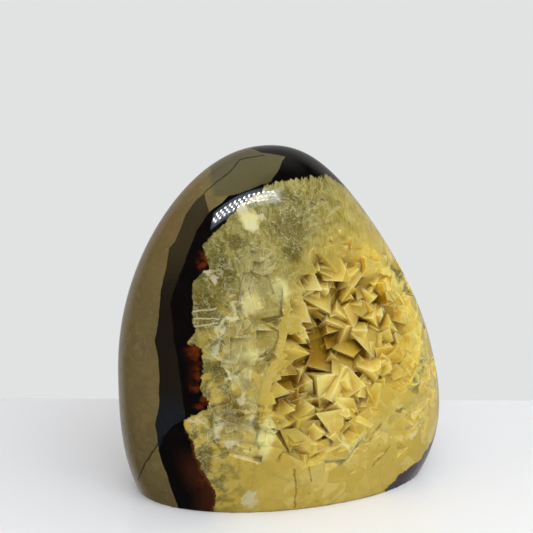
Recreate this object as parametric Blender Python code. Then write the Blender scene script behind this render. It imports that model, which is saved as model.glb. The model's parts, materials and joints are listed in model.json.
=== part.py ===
"""A septarian nodule: a polished stone that stands on its flat cut base, with
an open hollow in its face lined by one crust of calcite crystals."""

import math
import random

import bmesh
import bpy
from mathutils import Matrix, Vector
from mathutils.bvhtree import BVHTree

# The stone's outline: half widths at its waist, and how they change with height
HEIGHT = 0.115
WAIST_HEIGHT = 0.042
UNCUT_BELOW_WAIST = 0.0647
HALF_WIDTH = 0.0551
FRONT_DEPTH = 0.0316
BACK_DEPTH = 0.0337
PLAN_SQUARENESS = 2.05
SHOULDER_SQUARENESS = 2.2
FOOT_SQUARENESS = 3.05
TAPER = (-0.172, -0.234, 0.132)
LEAN = (-0.0088, -0.0056, 0.0098)
FOOT_SKEW = 0.0197
BASE_EDGE_ROUNDING = 0.0006

# The hollow, by angles from an axis that runs forwards out of a point inside the stone.
# The opening's half angles go round from +X through +Z.
CHART_CENTRE = Vector((0.005, 0.027, 0.054))
OPENING_DEGREES = (45, 42, 42, 39, 28, 20, 20, 27, 37, 33, 28, 38)
RIM_RISE = 0.002
CAP_RISE = 0.004
INNER_CAP_RISE = 0.016
SHALLOW_FLOOR = 0.009
DEEP_FLOOR = 0.034
DEEP_SPOT_DEGREES = (-7, -6)
DEEP_SPREAD_DEGREES = (13, 19)

# The crust of calcite, which keeps a hair's breadth from the stone round it
CRUST_GAP = 0.0003
CRUST_THICKNESS = 0.0022
ROOT_DEPTH = 0.0015
ROUGH_ALLOWANCE = 0.0012

# The large crystals. Each is given by its brightest face: the tip, then the two
# corners beside it, in millimetres across, back and up.
MM = 0.001
LARGE_CRYSTALS = {
    "roof block": ((12.5, -20, 75.5), (8.5, -19, 81.5), (21.5, -16, 80)),
    "peak": ((4.5, -18, 71), (3.5, -17, 64.5), (12, -15, 64.5)),
    "shelf": ((7, -21.5, 56.5), (7, -18, 61), (17, -18.5, 56.5)),
    "left fin": ((4.5, -17, 59.5), (1, -15.5, 53), (8, -16.5, 51)),
    "low fin": ((12, -18.5, 55.5), (8.5, -18, 52), (15, -18.5, 49.5)),
    "hook": ((12.5, -21.5, 64.5), (21, -16.5, 68), (16, -22.5, 57)),
    "wedge": ((22, -25, 47), (15, -22.5, 55.5), (25, -21, 56.5)),
    "slat": ((25, -24.5, 46), (23.5, -22, 50.5), (28.5, -21.5, 52.5)),
    "sail": ((30, -23.5, 55), (45, -17, 44.5), (33, -24, 43.5)),
    "ledge": ((19.5, -26, 46.5), (32, -22.5, 43), (26.5, -26, 38.5)),
    "knob": ((18, -25.5, 43.5), (13.5, -26.5, 38), (21, -27, 38)),
    "left tooth": ((-5, -25.5, 45.5), (-14, -27.5, 46.5), (-8, -24, 51)),
    "left blade": ((-8.5, -28, 40.5), (-18, -29.5, 39.5), (-13.5, -28, 45)),
    "deep block": ((-4, -13, 38), (2.5, -14.5, 39.5), (1, -15.5, 31)),
    "deep slab": ((9.5, -19.5, 32.5), (3, -17, 35.5), (8.5, -17, 39)),
    "deep fan": ((15, -19, 41.5), (12.5, -15.5, 46.5), (9, -17.5, 40)),
    "tall plate": ((-11, -31, 22.5), (-19, -30.5, 35), (-18.5, -30.5, 21.5)),
    "foot block": ((-13, -29.5, 29.5), (-7, -29.5, 29), (-10, -31, 22)),
    "foot tooth": ((-6.5, -27.5, 30.5), (1.5, -29, 30.5), (-3.5, -30.5, 24)),
    "bright tooth": ((-1, -30.5, 33.5), (8.5, -31, 34), (4.5, -32.5, 25)),
    "low pair": ((3.5, -31.5, 25), (-2.5, -31.5, 23.5), (4, -32, 19)),
    "low plate": ((-8, -31, 19), (-2, -32, 17.5), (-6.5, -31, 11)),
}

# The smaller crystals between them, each a cube stood on its corner and drawn out along
# that diagonal
CRYSTAL_SEED = 11
CRYSTAL_TRIES = 6000
CRYSTAL_SPACING = 0.0062
CRYSTAL_EDGE = (0.0050, 0.0080)
CRYSTAL_STRETCH = (1.25, 1.75)
DEEP_SHRINKAGE = 0.3
CRYSTAL_TILT_DEGREES = 38
CRYSTAL_SUNK = 0.0012
WIDEST_OPENING_DEGREES = 50
CLEAR_OF_LARGE_DEGREES = 4.5

# How finely the solids are faceted: subdivisions of a twenty-sided ball
STONE_FACETS = 5
RIM_FACETS = 4
FLOOR_FACETS = 3
TINY = 1e-6

LIMESTONE_COLOUR = (0.115, 0.098, 0.062, 1)
POLISHED_ROUGHNESS = 0.2
CALCITE_COLOUR = (0.62, 0.46, 0.14, 1)
CRYSTAL_ROUGHNESS = 0.3
SHARP_EDGE_DEGREES = 35


def clear_scene():
    for thing in list(bpy.data.objects):
        bpy.data.objects.remove(thing, do_unlink=True)


def mineral(name, colour, roughness):
    material = bpy.data.materials.new(name)
    material.use_nodes = True
    surface = material.node_tree.nodes["Principled BSDF"]
    surface.inputs["Base Color"].default_value = colour
    surface.inputs["Roughness"].default_value = roughness
    surface.inputs["Metallic"].default_value = 0
    material.diffuse_color = colour
    return material


def new_object(name, bm, material=None):
    mesh = bpy.data.meshes.new(name)
    bm.to_mesh(mesh)
    made = bpy.data.objects.new(name, mesh)
    bpy.context.scene.collection.objects.link(made)
    if material:
        mesh.materials.append(material)
    return made


def form(name, bm):
    """A shape that only cuts or adds to another, and isn't a piece itself."""
    made = new_object(name, bm)
    made.hide_render = True
    made.display_type = "WIRE"
    return made


def boolean(target, operation, tool):
    change = target.modifiers.new(operation.title(), "BOOLEAN")
    change.operation = operation
    change.object = tool
    change.solver = "EXACT"
    return change


def ball(facets):
    bm = bmesh.new()
    bmesh.ops.create_icosphere(bm, subdivisions=facets, radius=1)
    return bm


def stone_point(direction):
    """The point of the uncut stone's skin that a unit direction stands for."""
    ring = math.hypot(direction.x, direction.y)
    across = direction.x / ring if ring > TINY else 1.0
    along = direction.y / ring if ring > TINY else 0.0
    height = max(-1.0, min(1.0, direction.z))
    power = SHOULDER_SQUARENESS if height > 0 else FOOT_SQUARENESS
    swell = (1 - abs(height) ** power) ** (1 / power)
    squared = abs(across) ** PLAN_SQUARENESS + abs(along) ** PLAN_SQUARENESS
    reach = squared ** (-1 / PLAN_SQUARENESS)
    width = swell * (1 + sum(part * height ** (i + 1) for i, part in enumerate(TAPER)))
    lean = sum(part * height ** (i + 1) for i, part in enumerate(LEAN))
    skew = -FOOT_SKEW * min(0.0, height) ** 2 * reach * along * swell
    depth = FRONT_DEPTH if along < 0 else BACK_DEPTH
    rise = HEIGHT - WAIST_HEIGHT if height > 0 else UNCUT_BELOW_WAIST
    return Vector(
        (
            lean + skew + HALF_WIDTH * width * reach * across,
            depth * width * reach * along,
            WAIST_HEIGHT + rise * height,
        )
    )


def stone_blank():
    """The polished stone before its hollow, standing on its flat base over the origin."""
    bm = ball(STONE_FACETS)
    for vert in bm.verts:
        vert.co = stone_point(vert.co.normalized())
    everything = bm.verts[:] + bm.edges[:] + bm.faces[:]
    cut = bmesh.ops.bisect_plane(
        bm, geom=everything, dist=TINY, plane_co=(0, 0, 0), plane_no=(0, 0, 1), clear_inner=True
    )
    rim = [part for part in cut["geom_cut"] if isinstance(part, bmesh.types.BMEdge)]
    bmesh.ops.contextual_create(bm, geom=rim)
    bmesh.ops.bevel(
        bm, geom=rim, offset=BASE_EDGE_ROUNDING, affect="EDGES", segments=1, profile=0.5, material=-1
    )
    xs = [vert.co.x for vert in bm.verts]
    ys = [vert.co.y for vert in bm.verts]
    middle = Vector(((min(xs) + max(xs)) / 2, (min(ys) + max(ys)) / 2, 0))
    bmesh.ops.translate(bm, verts=bm.verts[:], vec=-middle)
    return bm


def round_value(values, angle):
    """A smooth value at an angle, from values spaced evenly round a full turn."""
    place = (angle / math.tau * len(values)) % len(values)
    start = int(place)
    part = place - start
    before, here, after, beyond = (values[(start + step) % len(values)] for step in (-1, 0, 1, 2))
    bend = 2 * before - 5 * here + 4 * after - beyond
    twist = 3 * (here - after) + beyond - before
    return here + 0.5 * part * (after - before + part * (bend + part * twist))


def chart_direction(spread, turn):
    """The direction at an angle from the hollow's axis, turned round it from +X towards +Z."""
    side = math.sin(spread)
    return Vector((side * math.cos(turn), -math.cos(spread), side * math.sin(turn)))


def deepness(spread, turn):
    """1 at the hollow's deepest spot, falling smoothly to 0 away from it."""
    across = (math.degrees(spread) * math.cos(turn) - DEEP_SPOT_DEGREES[0]) / DEEP_SPREAD_DEGREES[0]
    up = (math.degrees(spread) * math.sin(turn) - DEEP_SPOT_DEGREES[1]) / DEEP_SPREAD_DEGREES[1]
    return math.exp(-(across**2 + up**2) / 2)


def floor_depth(spread, turn):
    """How far below the polished face the stone's hollow goes there."""
    return SHALLOW_FLOOR + (DEEP_FLOOR - SHALLOW_FLOOR) * deepness(spread, turn)


def hollow_lens(skin, facets, cap_rise=CAP_RISE, inset=0.0):
    """The hollow's space: a ball pressed to a lens, its rim and its cap outside the polished face."""
    bm = ball(facets)
    for vert in bm.verts:
        across, up, out = vert.co
        turn = math.atan2(up, across)
        opening = math.radians(round_value(OPENING_DEGREES, turn))
        spread = opening * min(1.0, math.hypot(across, up))
        outward = chart_direction(spread, turn)
        face = skin.ray_cast(CHART_CENTRE, outward)[0]
        rise = cap_rise if out > 0 else RIM_RISE + floor_depth(spread, turn)
        vert.co = face + outward * (RIM_RISE + rise * out)
    bm.normal_update()
    for vert in bm.verts:
        vert.co -= vert.normal * inset
    return bm


def large_crystal(bm, floor, tip, left, right):
    """A crystal behind its bright face, as deep as it is wide, or deeper where its root is."""
    first, second = left - tip, right - tip
    corner = first.angle(second)
    along = (first.normalized() + second.normalized()).normalized()
    back = first.cross(second).normalized()
    if back.dot(tip - CHART_CENTRE) > 0:
        first, second, back = second, first, -back
    slant = max(0.0, math.cos(corner)) / math.cos(corner / 2)
    edge = (along * slant + back * math.sqrt(1 - slant**2)).normalized()
    length = (first.length + second.length) / 2
    root = floor.ray_cast(tip + (first + second) / 2, edge)[3]
    if root:
        length = max(length, root + ROOT_DEPTH)
    third = edge * length
    columns = Matrix((first, second, third)).transposed().to_4x4()
    place = Matrix.Translation(tip + (first + second + third) / 2) @ columns
    bmesh.ops.create_cube(bm, size=1, matrix=place)


def small_crystal(bm, foot, axis, turn, edge, stretch):
    """A rhombohedron whose upper half stands on its foot along an axis."""
    on_corner = Vector((1, 1, 1)).rotation_difference(Vector((0, 0, 1))).to_matrix().to_4x4()
    place = (
        Matrix.Translation(foot - axis * CRYSTAL_SUNK)
        @ Vector((0, 0, 1)).rotation_difference(axis).to_matrix().to_4x4()
        @ Matrix.Rotation(turn, 4, "Z")
        @ Matrix.Diagonal((1, 1, stretch, 1))
        @ on_corner
    )
    bmesh.ops.create_cube(bm, size=edge, matrix=place)


def crystal_forms(floor):
    """Every crystal as a closed shape, rooted in the crust's floor."""
    bm = bmesh.new()
    faces = []
    for corners in LARGE_CRYSTALS.values():
        tip, left, right = (Vector(corner) * MM for corner in corners)
        large_crystal(bm, floor, tip, left, right)
        faces.append(((left + right) / 2 - CHART_CENTRE).normalized())
    rng = random.Random(CRYSTAL_SEED)
    feet = []
    for _ in range(CRYSTAL_TRIES):
        spread = math.radians(WIDEST_OPENING_DEGREES) * math.sqrt(rng.random())
        turn = rng.uniform(0, math.tau)
        outward = chart_direction(spread, turn)
        foot, normal = floor.ray_cast(CHART_CENTRE, outward)[:2]
        if foot is None or any((foot - other).length < CRYSTAL_SPACING for other in feet):
            continue
        if any(outward.angle(face) < math.radians(CLEAR_OF_LARGE_DEGREES) for face in faces):
            continue
        feet.append(foot)
        inward = normal if normal.dot(outward) > 0 else -normal
        tilt = Matrix.Rotation(math.radians(CRYSTAL_TILT_DEGREES) * rng.random(), 3, inward.orthogonal())
        axis = Matrix.Rotation(rng.uniform(0, math.tau), 3, inward) @ tilt @ inward
        edge = rng.uniform(*CRYSTAL_EDGE) * (1 - DEEP_SHRINKAGE * deepness(spread, turn))
        small_crystal(bm, foot, axis, rng.uniform(0, math.tau), edge, rng.uniform(*CRYSTAL_STRETCH))
    return bm


def shells_of(bm):
    """The groups of faces that hang together."""
    left = set(bm.faces)
    shells = []
    while left:
        shell = [left.pop()]
        for face in shell:
            near = {other for edge in face.edges for other in edge.link_faces} & left
            left -= near
            shell.extend(near)
        shells.append(shell)
    return shells


def volume(shell):
    return sum(face.verts[0].co.dot(face.verts[1].co.cross(face.verts[2].co)) for face in shell) / 6


def keep_outer_shell(made):
    """Applies the changes, without the skins of pockets that the crystals close off between them."""
    graph = bpy.context.evaluated_depsgraph_get()
    bm = bmesh.new()
    bm.from_object(made, graph)
    bmesh.ops.triangulate(bm, faces=bm.faces[:])
    shells = sorted(shells_of(bm), key=volume)
    for shell in shells[:-1]:
        bmesh.ops.delete(bm, geom=shell, context="FACES")
    made.modifiers.clear()
    bm.to_mesh(made.data)


def build():
    limestone = mineral("polished_limestone", LIMESTONE_COLOUR, POLISHED_ROUGHNESS)
    calcite = mineral("yellow_calcite", CALCITE_COLOUR, CRYSTAL_ROUGHNESS)
    blank = stone_blank()
    skin = BVHTree.FromBMesh(blank)
    nodule = new_object("nodule", blank, limestone)
    nodule.data.shade_smooth()
    nodule.data.set_sharp_from_angle(angle=math.radians(SHARP_EDGE_DEGREES))
    boolean(nodule, "DIFFERENCE", form("hollow_form", hollow_lens(skin, RIM_FACETS)))

    inner_lens = hollow_lens(skin, FLOOR_FACETS, INNER_CAP_RISE, CRUST_GAP + CRUST_THICKNESS)
    crystals = form("crystal_forms", crystal_forms(BVHTree.FromBMesh(inner_lens)))
    rough_lens = hollow_lens(skin, FLOOR_FACETS, inset=-ROUGH_ALLOWANCE)
    crust = new_object("calcite_crust", rough_lens, calcite)
    boolean(crust, "DIFFERENCE", form("crust_inner_form", inner_lens))
    boolean(crust, "UNION", crystals).use_self = True
    outer_lens = hollow_lens(skin, RIM_FACETS, inset=CRUST_GAP)
    boolean(crust, "INTERSECT", form("crust_outer_form", outer_lens))
    boolean(crust, "INTERSECT", form("polished_form", blank))
    keep_outer_shell(crust)


clear_scene()
build()
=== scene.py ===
"""The looks of a polished septarian nodule: limestone, a dark margin of aragonite and
yellow calcite, with an open hollow lined by calcite crystals."""

import json
import math
import random

import bmesh
import bpy
import numpy as np
from mathutils import Matrix, Vector
from mathutils.bvhtree import BVHTree

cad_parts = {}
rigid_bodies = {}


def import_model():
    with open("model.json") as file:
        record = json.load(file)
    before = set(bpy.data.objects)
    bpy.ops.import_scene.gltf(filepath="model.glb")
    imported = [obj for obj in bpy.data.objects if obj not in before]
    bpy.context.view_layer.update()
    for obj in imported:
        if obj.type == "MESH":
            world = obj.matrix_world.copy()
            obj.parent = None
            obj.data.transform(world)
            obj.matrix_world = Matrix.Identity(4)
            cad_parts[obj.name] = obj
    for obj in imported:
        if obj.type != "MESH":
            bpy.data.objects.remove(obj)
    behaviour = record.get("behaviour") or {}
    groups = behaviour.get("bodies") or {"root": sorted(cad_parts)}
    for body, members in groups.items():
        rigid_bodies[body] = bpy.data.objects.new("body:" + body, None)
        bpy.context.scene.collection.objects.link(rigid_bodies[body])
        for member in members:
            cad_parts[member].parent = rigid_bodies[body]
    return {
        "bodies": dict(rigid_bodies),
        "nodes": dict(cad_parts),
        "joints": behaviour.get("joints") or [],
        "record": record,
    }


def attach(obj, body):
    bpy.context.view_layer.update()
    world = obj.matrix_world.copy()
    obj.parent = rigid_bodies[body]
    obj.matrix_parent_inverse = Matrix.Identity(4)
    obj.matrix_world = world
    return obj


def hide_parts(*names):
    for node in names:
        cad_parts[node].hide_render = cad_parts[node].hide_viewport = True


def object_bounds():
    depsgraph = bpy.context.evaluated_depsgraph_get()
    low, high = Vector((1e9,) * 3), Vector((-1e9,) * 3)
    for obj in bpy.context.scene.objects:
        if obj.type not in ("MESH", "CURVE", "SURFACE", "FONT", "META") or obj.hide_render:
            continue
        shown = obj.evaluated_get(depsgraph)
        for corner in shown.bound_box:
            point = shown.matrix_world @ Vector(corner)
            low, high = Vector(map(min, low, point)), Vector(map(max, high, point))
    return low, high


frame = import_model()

cad_low, cad_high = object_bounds()

MM = 0.001
TINY = 1e-6

# The stone's outline, as the solids have it
HEIGHT = cad_high.z
WAIST_HEIGHT = 0.042
UNCUT_BELOW_WAIST = 0.0647
HALF_WIDTH = 0.0551
FRONT_DEPTH = 0.0316
BACK_DEPTH = 0.0337
PLAN_SQUARENESS = 2.05
SHOULDER_SQUARENESS = 2.2
FOOT_SQUARENESS = 3.05
TAPER = (-0.172, -0.234, 0.132)
LEAN = (-0.0088, -0.0056, 0.0098)
FOOT_SKEW = 0.0197
BASE_EDGE_ROUNDING = 0.0006

# The hollow, by angles from an axis that runs forwards out of a point inside the stone.
# The opening's half angles go round from +X through +Z.
CHART_CENTRE = Vector((0.005, 0.027, 0.054))
OPENING_DEGREES = (45, 42, 42, 39, 28, 20, 20, 27, 37, 33, 28, 38)
RIM_RISE = 0.002
CAP_RISE = 0.004
INNER_CAP_RISE = 0.016
SHALLOW_FLOOR = 0.009
DEEP_FLOOR = 0.034
DEEP_SPOT_DEGREES = (-7, -6)
DEEP_SPREAD_DEGREES = (13, 19)
WALL_MAP = (-0.5, -0.5)

# The bands of the polished face, drawn on a chart of it: degrees across and up from the
# hollow's axis, where a degree is about a millimetre
CALCITE_EDGE = (
    (16, 53), (8.5, 54.5), (0, 53), (-8.5, 51.5), (-15, 50), (-21, 46.5), (-26, 43.5), (-29, 40.5),
    (-33, 37), (-37, 33), (-36.5, 26.5), (-40.5, 23), (-41.5, 14.5), (-41, 8), (-42.5, 5), (-39, 2),
    (-38.5, -2), (-39, -8.5), (-36, -13.5), (-39.5, -16), (-42.5, -18), (-38.5, -25.5), (-36, -31.5),
    (-33, -35.5), (-31, -39), (-31, -46), (-24, -62), (0, -72), (18, -62), (17, -43), (22, -40),
    (30, -39), (36, -37), (43, -35.5), (60, -32), (80, -20), (90, 0), (80, 25), (62, 42), (45, 50),
    (30, 52),
)
DARK_EDGE = (
    (40, 55), (16, 54), (8.5, 55.5), (3.5, 57), (-1.5, 58), (-7, 59), (-9, 57.5), (-11.5, 54),
    (-14.5, 51), (-21, 48.5), (-27.5, 47), (-34, 42.5), (-38.5, 37), (-41.5, 31), (-44.5, 24.5),
    (-47.5, 17), (-46.5, 5), (-45, -3), (-43.5, -11), (-42, -17), (-45, -19.5), (-47, -23.5),
    (-48, -28), (-44.5, -34.5), (-40.5, -44), (-36, -60), (0, -80), (60, -40), (95, 0), (60, 50),
)
GREY_EDGE = (
    (-34.5, 48.5), (-37, 47), (-41, 42.5), (-45, 34.5), (-47, 32.5), (-48.5, 26), (-50, 20),
    (-51.5, 4.5), (-50.5, -1), (-49.5, -12), (-49.5, -20.5), (-48, -27), (-44.5, -34.5),
    (-40.5, -44), (-38, -52), (-30, -30), (-30, 10), (-33, 30),
)
TOP_BAND = (
    (60, 50), (16, 53), (3.5, 55.5), (-7, 58.5), (-9.5, 59), (-15, 60), (-18, 63), (-8, 69),
    (22, 67), (62, 58),
)


# Mesh helpers


def in_scene(name, data):
    """A new object in the scene, for a mesh, a light or a camera."""
    made = bpy.data.objects.new(name, data)
    bpy.context.scene.collection.objects.link(made)
    return made


def mesh_of(name, bm):
    mesh = bpy.data.meshes.new(name)
    bm.to_mesh(mesh)
    bm.free()
    return mesh


def new_piece(name, bm, materials):
    mesh = mesh_of(name, bm)
    for material in materials:
        mesh.materials.append(material)
    return in_scene(name, mesh)


def boolean(target, operation, tool):
    """Joins, cuts or keeps to the space of a closed piece, or of each piece of a collection."""
    change = target.modifiers.new(operation.title(), "BOOLEAN")
    change.operation = operation
    change.solver = "MANIFOLD"
    if isinstance(tool, bpy.types.Collection):
        change.operand_type = "COLLECTION"
        change.collection = tool
    else:
        change.object = tool


def applied(made, helpers):
    """The piece's shape as a bmesh, with its changes applied and their helpers removed."""
    bm = bmesh.new()
    bm.from_object(made, bpy.context.evaluated_depsgraph_get())
    made.modifiers.clear()
    for helper in helpers:
        bpy.data.objects.remove(helper)
    return bm


def ball(facets):
    bm = bmesh.new()
    bmesh.ops.create_icosphere(bm, subdivisions=facets, radius=1)
    return bm


def chart_of(points):
    """Where points lie on the chart, as rows of degrees across and up."""
    rays = points - np.array(CHART_CENTRE)
    rays /= np.linalg.norm(rays, axis=1)[:, None]
    spread = np.degrees(np.arccos(np.clip(-rays[:, 1], -1, 1)))
    turn = np.arctan2(rays[:, 2], rays[:, 0])
    return np.column_stack((spread * np.cos(turn), spread * np.sin(turn)))


def inside(points, outline):
    """How far each point of the chart is inside a closed outline, and below 0 outside it."""
    corners = np.array(outline, float)
    nearest = np.full(len(points), np.inf)
    crossings = np.zeros(len(points), int)
    for start, end in zip(corners, np.roll(corners, -1, axis=0)):
        side, offset = end - start, points - start
        along = np.clip(offset @ side / (side @ side), 0, 1)
        nearest = np.minimum(nearest, np.linalg.norm(offset - along[:, None] * side, axis=1))
        spans = (start[1] > points[:, 1]) != (end[1] > points[:, 1])
        if start[1] != end[1]:
            level = start[0] + (points[:, 1] - start[1]) / (end[1] - start[1]) * side[0]
            crossings += spans & (points[:, 0] < level)
    return np.where(crossings % 2 == 1, nearest, -nearest)


# The stone


def stone_point(direction):
    """The point of the uncut stone's skin that a unit direction stands for."""
    ring = math.hypot(direction.x, direction.y)
    across = direction.x / ring if ring > TINY else 1.0
    along = direction.y / ring if ring > TINY else 0.0
    height = max(-1.0, min(1.0, direction.z))
    power = SHOULDER_SQUARENESS if height > 0 else FOOT_SQUARENESS
    swell = (1 - abs(height) ** power) ** (1 / power)
    squared = abs(across) ** PLAN_SQUARENESS + abs(along) ** PLAN_SQUARENESS
    reach = squared ** (-1 / PLAN_SQUARENESS)
    width = swell * (1 + sum(part * height ** (i + 1) for i, part in enumerate(TAPER)))
    lean = sum(part * height ** (i + 1) for i, part in enumerate(LEAN))
    skew = -FOOT_SKEW * min(0.0, height) ** 2 * reach * along * swell
    depth = FRONT_DEPTH if along < 0 else BACK_DEPTH
    rise = HEIGHT - WAIST_HEIGHT if height > 0 else UNCUT_BELOW_WAIST
    return Vector(
        (
            lean + skew + HALF_WIDTH * width * reach * across,
            depth * width * reach * along,
            WAIST_HEIGHT + rise * height,
        )
    )


# The facets of the ball that the stone comes from, fewer for where the solids' middle is
SOLID_FACETS = 5
STONE_FACETS = 6
FACE_SPREAD = 66
BAND_NEARNESS = 1.3


def refine(bm, chosen):
    """Halves the edges whose ends are both chosen by a rule on the chart."""
    skin = np.array([stone_point(vert.co.normalized()) for vert in bm.verts]) + STONE_SHIFT
    picked = chosen(chart_of(skin))
    for vert, pick in zip(bm.verts, picked):
        vert.select = bool(pick)
    edges = [edge for edge in bm.edges if edge.verts[0].select and edge.verts[1].select]
    bmesh.ops.subdivide_edges(bm, edges=edges, cuts=1, use_grid_fill=True)
    bmesh.ops.triangulate(bm, faces=[face for face in bm.faces if len(face.verts) > 3])
    for vert in bm.verts:
        vert.co.normalize()


def on_face(chart):
    return np.linalg.norm(chart, axis=1) < FACE_SPREAD


def near_bands(chart):
    outlines = (CALCITE_EDGE, DARK_EDGE, GREY_EDGE, TOP_BAND)
    nearest = np.min([abs(inside(chart, outline)) for outline in outlines], axis=0)
    return on_face(chart) & (nearest < BAND_NEARNESS)


def cut_flat(bm):
    everything = bm.verts[:] + bm.edges[:] + bm.faces[:]
    cut = bmesh.ops.bisect_plane(
        bm, geom=everything, dist=TINY, plane_co=(0, 0, 0), plane_no=(0, 0, 1), clear_inner=True
    )
    rim = [part for part in cut["geom_cut"] if isinstance(part, bmesh.types.BMEdge)]
    bmesh.ops.contextual_create(bm, geom=rim)
    bmesh.ops.bevel(
        bm, geom=rim, offset=BASE_EDGE_ROUNDING, affect="EDGES", segments=2, profile=0.5, material=-1
    )


def middle_of_outline():
    """How far the formula's outline is from the solid's, seen from above."""
    rough = ball(SOLID_FACETS)
    xs, ys = [], []
    for vert in rough.verts:
        point = stone_point(vert.co.normalized())
        if point.z > 0:
            xs.append(point.x)
            ys.append(point.y)
    rough.free()
    return np.array((-(min(xs) + max(xs)) / 2, -(min(ys) + max(ys)) / 2, 0))


STONE_SHIFT = middle_of_outline()


def stone_blank(growth=0.0):
    """The polished stone before its hollow, finest where its bands meet."""
    bm = ball(STONE_FACETS)
    if growth == 0:
        refine(bm, on_face)
        refine(bm, near_bands)
    for vert in bm.verts:
        vert.co = stone_point(vert.co.normalized()) + Vector(STONE_SHIFT)
    if growth:
        bm.normal_update()
        for vert in bm.verts:
            vert.co += vert.normal * growth
    cut_flat(bm)
    return bm


# The hollow and its crystals


def round_value(values, angle):
    """A smooth value at an angle, from values spaced evenly round a full turn."""
    place = (angle / math.tau * len(values)) % len(values)
    start = int(place)
    part = place - start
    before, here, after, beyond = (values[(start + step) % len(values)] for step in (-1, 0, 1, 2))
    bend = 2 * before - 5 * here + 4 * after - beyond
    twist = 3 * (here - after) + beyond - before
    return here + 0.5 * part * (after - before + part * (bend + part * twist))


def chart_direction(spread, turn):
    """The direction at an angle from the hollow's axis, turned round it from +X towards +Z."""
    side = math.sin(spread)
    return Vector((side * math.cos(turn), -math.cos(spread), side * math.sin(turn)))


def deepness(spread, turn):
    """1 at the hollow's deepest spot, falling smoothly to 0 away from it."""
    across = (math.degrees(spread) * math.cos(turn) - DEEP_SPOT_DEGREES[0]) / DEEP_SPREAD_DEGREES[0]
    up = (math.degrees(spread) * math.sin(turn) - DEEP_SPOT_DEGREES[1]) / DEEP_SPREAD_DEGREES[1]
    return math.exp(-(across**2 + up**2) / 2)


def floor_depth(spread, turn):
    """How far below the polished face the stone's hollow goes there."""
    return SHALLOW_FLOOR + (DEEP_FLOOR - SHALLOW_FLOOR) * deepness(spread, turn)


def hollow_lens(skin, facets, cap_rise=CAP_RISE, inset=0.0):
    """The hollow's space: a ball pressed to a lens, its rim and its cap outside the polished face."""
    bm = ball(facets)
    for vert in bm.verts:
        across, up, out = vert.co
        turn = math.atan2(up, across)
        opening = math.radians(round_value(OPENING_DEGREES, turn))
        spread = opening * min(1.0, math.hypot(across, up))
        outward = chart_direction(spread, turn)
        face = skin.ray_cast(CHART_CENTRE, outward)[0]
        rise = cap_rise if out > 0 else RIM_RISE + floor_depth(spread, turn)
        vert.co = face + outward * (RIM_RISE + rise * out)
    bm.normal_update()
    for vert in bm.verts:
        vert.co -= vert.normal * inset
    layer = bm.loops.layers.uv.verify()
    for face in bm.faces:
        for loop in face.loops:
            loop[layer].uv = WALL_MAP
    return bm


CRUST_GAP = 0.0003
CRUST_THICKNESS = 0.0022
CRUST_OVERLAP = 0.0004
PROUD = 0.00003
ROOT_DEPTH = 0.0015
LARGE_CRYSTALS = {
    "roof block": ((12.5, -20, 75.5), (8.5, -19, 81.5), (21.5, -16, 80)),
    "peak": ((4.5, -18, 71), (3.5, -17, 64.5), (12, -15, 64.5)),
    "shelf": ((7, -21.5, 56.5), (7, -18, 61), (17, -18.5, 56.5)),
    "left fin": ((4.5, -17, 59.5), (1, -15.5, 53), (8, -16.5, 51)),
    "low fin": ((12, -18.5, 55.5), (8.5, -18, 52), (15, -18.5, 49.5)),
    "hook": ((12.5, -21.5, 64.5), (21, -16.5, 68), (16, -22.5, 57)),
    "wedge": ((22, -25, 47), (15, -22.5, 55.5), (25, -21, 56.5)),
    "slat": ((25, -24.5, 46), (23.5, -22, 50.5), (28.5, -21.5, 52.5)),
    "sail": ((30, -23.5, 55), (45, -17, 44.5), (33, -24, 43.5)),
    "ledge": ((19.5, -26, 46.5), (32, -22.5, 43), (26.5, -26, 38.5)),
    "knob": ((18, -25.5, 43.5), (13.5, -26.5, 38), (21, -27, 38)),
    "left tooth": ((-5, -25.5, 45.5), (-14, -27.5, 46.5), (-8, -24, 51)),
    "left blade": ((-8.5, -28, 40.5), (-18, -29.5, 39.5), (-13.5, -28, 45)),
    "deep block": ((-4, -13, 38), (2.5, -14.5, 39.5), (1, -15.5, 31)),
    "deep slab": ((9.5, -19.5, 32.5), (3, -17, 35.5), (8.5, -17, 39)),
    "deep fan": ((15, -19, 41.5), (12.5, -15.5, 46.5), (9, -17.5, 40)),
    "tall plate": ((-11, -31, 22.5), (-19, -30.5, 35), (-18.5, -30.5, 21.5)),
    "foot block": ((-13, -29.5, 29.5), (-7, -29.5, 29), (-10, -31, 22)),
    "foot tooth": ((-6.5, -27.5, 30.5), (1.5, -29, 30.5), (-3.5, -30.5, 24)),
    "bright tooth": ((-1, -30.5, 33.5), (8.5, -31, 34), (4.5, -32.5, 25)),
    "low pair": ((3.5, -31.5, 25), (-2.5, -31.5, 23.5), (4, -32, 19)),
    "low plate": ((-8, -31, 19), (-2, -32, 17.5), (-6.5, -31, 11)),
}
CRYSTAL_SEED = 11
CRYSTAL_TRIES = 6000
CRYSTAL_SPACING = 0.0062
CRYSTAL_EDGE = (0.0050, 0.0080)
CRYSTAL_STRETCH = (1.25, 1.75)
DEEP_SHRINKAGE = 0.3
CRYSTAL_TILT_DEGREES = 38
CRYSTAL_SUNK = 0.0012
WIDEST_OPENING_DEGREES = 50
SHARPENED = 1.3
CLEAR_OF_LARGE_DEGREES = 4.5
RIM_FACETS = 5
WALL_FACETS = 5
FLOOR_FACETS = 3

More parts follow.
